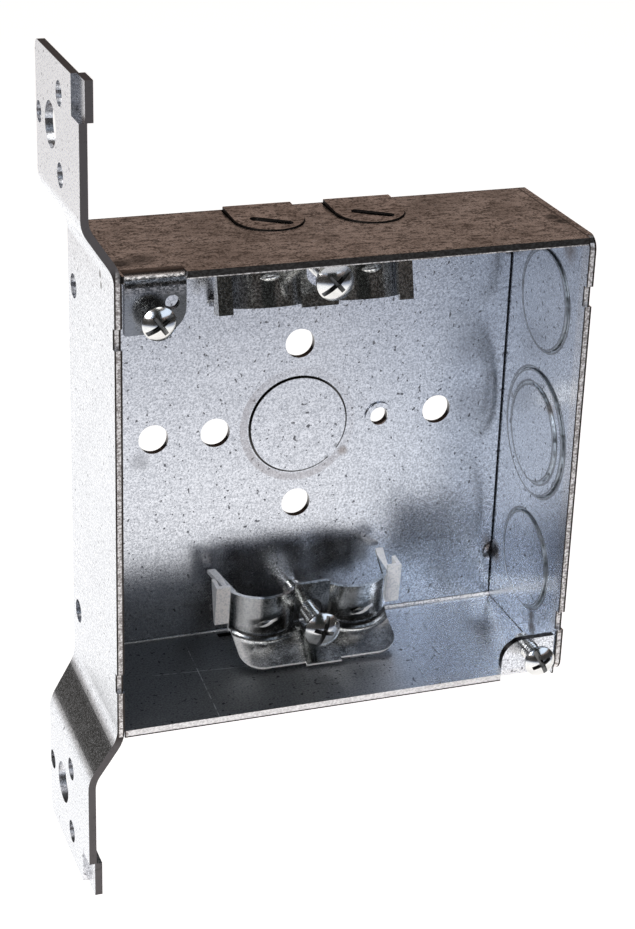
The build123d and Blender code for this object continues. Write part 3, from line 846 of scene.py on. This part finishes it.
screw("upper_cover_screw", COVER_SCREW, 35)
screw("lower_cover_screw", COVER_SCREW, -62)
screw("upper_clamp_screw", CLAMP_SCREW, 42)
screw("lower_clamp_screw", CLAMP_SCREW, 72)


# Stage: a wide pale floor, plain cards that only reflections see, soft lamps and a plain world

CENTRE = Vector((0.057, 0.0, 0.0))
FLOOR_Z = -ARM_Z * MM - 0.25
FLOOR_HALF = 30.0
PAPER = (0.80, 0.80, 0.80)
PAPER_GLOW = 0.86
# Heights of the floor's cards above it
CARD_LIFT = 0.004
TABLE_LIFT = 0.003
# Reflected front of the floor: middle and distances of its fade, and its near and far tones
TABLE_MIDDLE = (-0.12, 0.0, FLOOR_Z)
TABLE_FADE = (0.72, 1.22)
TABLE_NEAR = (1.34, 1.35, 1.38)
TABLE_FAR = (0.38, 0.43, 0.56)
TABLE_STEPS = 24
# Bands round the box: degrees of turn to a step, and tones
BAND_STEP = 6
ROOM = (0.045, 0.042, 0.040)
FLAG = (0.018, 0.020, 0.019)
SOFT_RIGHT = (1.06, 1.22, 1.46)
SOFT_LEFT = (0.34, 0.42, 0.56)
BACK_CARD = (1.32, 1.32, 1.32)
BACK_CARD_CORNERS = ((-0.75, 1.10), (-0.60, 0.22), (0.20, 0.22), (0.25, 1.10))
# World: level, middle and overhead tones
SKY_LEVEL = (0.85, 0.85, 0.86)
SKY_MIDDLE = (0.215, 0.155, 0.128)
SKY_OVERHEAD = (0.10, 0.09, 0.085)


def floor_material():
    """White paper: it glows to the camera and in reflections, and keeps the box's shadow."""
    made = bpy.data.materials.new("floor_white")
    nodes = Nodes(made)
    path = nodes.add("LightPath").outputs
    seen = nodes.math("ADD", path["Is Camera Ray"], path["Is Glossy Ray"])
    seen = nodes.math("ADD", seen, path["Is Transmission Ray"], clamp=True)
    paper = nodes.add("BsdfDiffuse", Color=PAPER)
    glow = nodes.add("Emission", Color=WHITE, Strength=nodes.scaled(seen, PAPER_GLOW))
    both = nodes.add("AddShader", i0=paper.outputs[0], i1=glow.outputs[0])
    nodes.add("OutputMaterial", Surface=both.outputs[0])
    return made


def flat_sheet(name, corners, z):
    """A level sheet with its corners given in x and y."""
    made = bmesh.new()
    made.faces.new([made.verts.new((x, y, z)) for x, y in corners])
    return mesh_object(name, made)


def ribbon(name, rails):
    """A bent sheet through pairs of points."""
    made = bmesh.new()
    pairs = [[made.verts.new(end) for end in rail] for rail in rails]
    for left, right in zip(pairs, pairs[1:]):
        made.faces.new((left[0], right[0], right[1], left[1]))
    return mesh_object(name, made)


def fan(turns, steps):
    """Angles between two turns, which are in degrees from the front towards +X."""
    start, end = turns
    return [radians(start + (end - start) * step / steps) for step in range(steps + 1)]


def reflection_only(made, colour):
    """Makes a card glow in one tone that only reflections see; returns its nodes and its glow."""
    material = bpy.data.materials.new(made.name)
    nodes = Nodes(material)
    glow = nodes.add("Emission", Color=colour, Strength=1.0)
    nodes.add("OutputMaterial", Surface=glow.outputs[0])
    made.data.materials.append(material)
    made.visible_camera = False
    made.visible_diffuse = False
    made.visible_shadow = False
    made.visible_transmission = False
    return nodes, glow


def band(name, radius, turns, heights, colour):
    """A bent card round the box, with its heights as elevations in degrees."""
    slopes = [tan(radians(height)) for height in heights]
    rails = [
        [CENTRE + radius * Vector((sin(turn), -cos(turn), slope)) for slope in slopes]
        for turn in fan(turns, max(2, int((turns[1] - turns[0]) / BAND_STEP)))
    ]
    reflection_only(ribbon(name, rails), colour)


def fading_table(name, turns, radii):
    """The front of the floor as reflections see it: bright near the box, blue-grey far off."""
    rails = [
        [(CENTRE.x + radius * sin(turn), -radius * cos(turn), FLOOR_Z + TABLE_LIFT) for radius in radii]
        for turn in fan(turns, TABLE_STEPS)
    ]
    nodes, glow = reflection_only(ribbon(name, rails), WHITE)
    where = nodes.add("TexCoord").outputs["Object"]
    props = {"operation": "DISTANCE"}
    away = nodes.add("VectorMath", props, i0=where, i1=TABLE_MIDDLE).outputs["Value"]
    tone = nodes.mix(nodes.ramp(away, *TABLE_FADE), TABLE_NEAR, TABLE_FAR)
    nodes.fill(glow.inputs["Color"], tone)


def lamp(name, place, size, power):
    """A round soft lamp that looks at the box."""
    data = bpy.data.lights.new(name, "AREA")
    data.shape = "DISK"
    data.size = size
    data.energy = power
    made = bpy.data.objects.new(name, data)
    scene.collection.objects.link(made)
    made.location = CENTRE + Vector(place)
    made.rotation_euler = (CENTRE - made.location).to_track_quat("-Z", "Y").to_euler()
    made.visible_camera = False


def studio_world():
    made = bpy.data.worlds.new("studio")
    nodes = Nodes(made)
    direction = nodes.add("TexCoord").outputs["Generated"]
    height = nodes.add("SeparateXYZ", Vector=direction).outputs["Z"]
    colour = nodes.mix(nodes.ramp(height, 0.05, 0.26), SKY_LEVEL, SKY_MIDDLE)
    colour = nodes.mix(nodes.ramp(height, 0.45, 0.95), colour, SKY_OVERHEAD)
    sky = nodes.add("Background", Color=colour, Strength=1.0)
    nodes.add("OutputWorld", Surface=sky.outputs[0])
    return made


floor_corners = [(x * FLOOR_HALF, y * FLOOR_HALF) for x, y in ((-1, -1), (1, -1), (1, 1), (-1, 1))]
floor = flat_sheet("floor", floor_corners, 0)
floor.location = (0, 0, FLOOR_Z)
floor.data.materials.append(floor_material())

band("room_front", 1.40, (-100, 100), (-14, 13), ROOM)
band("room_back", 1.40, (100, 260), (-5, 13), ROOM)
band("flag_front", 1.35, (-20, 18), (5, 62), FLAG)
band("soft_front_right", 1.30, (18, 80), (20, 46), SOFT_RIGHT)
band("soft_front_left", 1.30, (-70, -20), (18, 46), SOFT_LEFT)
fading_table("table_front", (-85, 85), (0.50, 1.45))
card_corners = [(CENTRE.x + x, CENTRE.y + y) for x, y in BACK_CARD_CORNERS]
reflection_only(flat_sheet("white_back_left", card_corners, FLOOR_Z + CARD_LIFT), BACK_CARD)

lamp("key", (-0.642, -0.548, 0.53), 0.52, 5.5)
lamp("top", (0.2, -0.3, 1.4), 0.9, 4.5)
scene.world = studio_world()

# Camera: the photograph's place, turn and lens
CAMERA_RIGHT = Vector((0.9432058, -0.3307681, 0.0309075))
CAMERA_UP = Vector((0.1081868, 0.3937957, 0.9128092))
CAMERA_BACK = Vector((-0.3140994, -0.8576231, 0.4072151))
CAMERA_PLACE = (-0.0890909, -0.3999667, 0.1856065)
camera_data = bpy.data.cameras.new("camera")
camera_data.sensor_fit = "VERTICAL"
camera_data.sensor_height = 36.0
camera_data.lens = 83.38
camera_data.clip_start = 0.01
camera_data.clip_end = 100.0
camera = bpy.data.objects.new("camera", camera_data)
scene.collection.objects.link(camera)
place = Matrix((CAMERA_RIGHT, CAMERA_UP, CAMERA_BACK)).transposed().to_4x4()
place.translation = CAMERA_PLACE
camera.matrix_world = place
scene.camera = camera
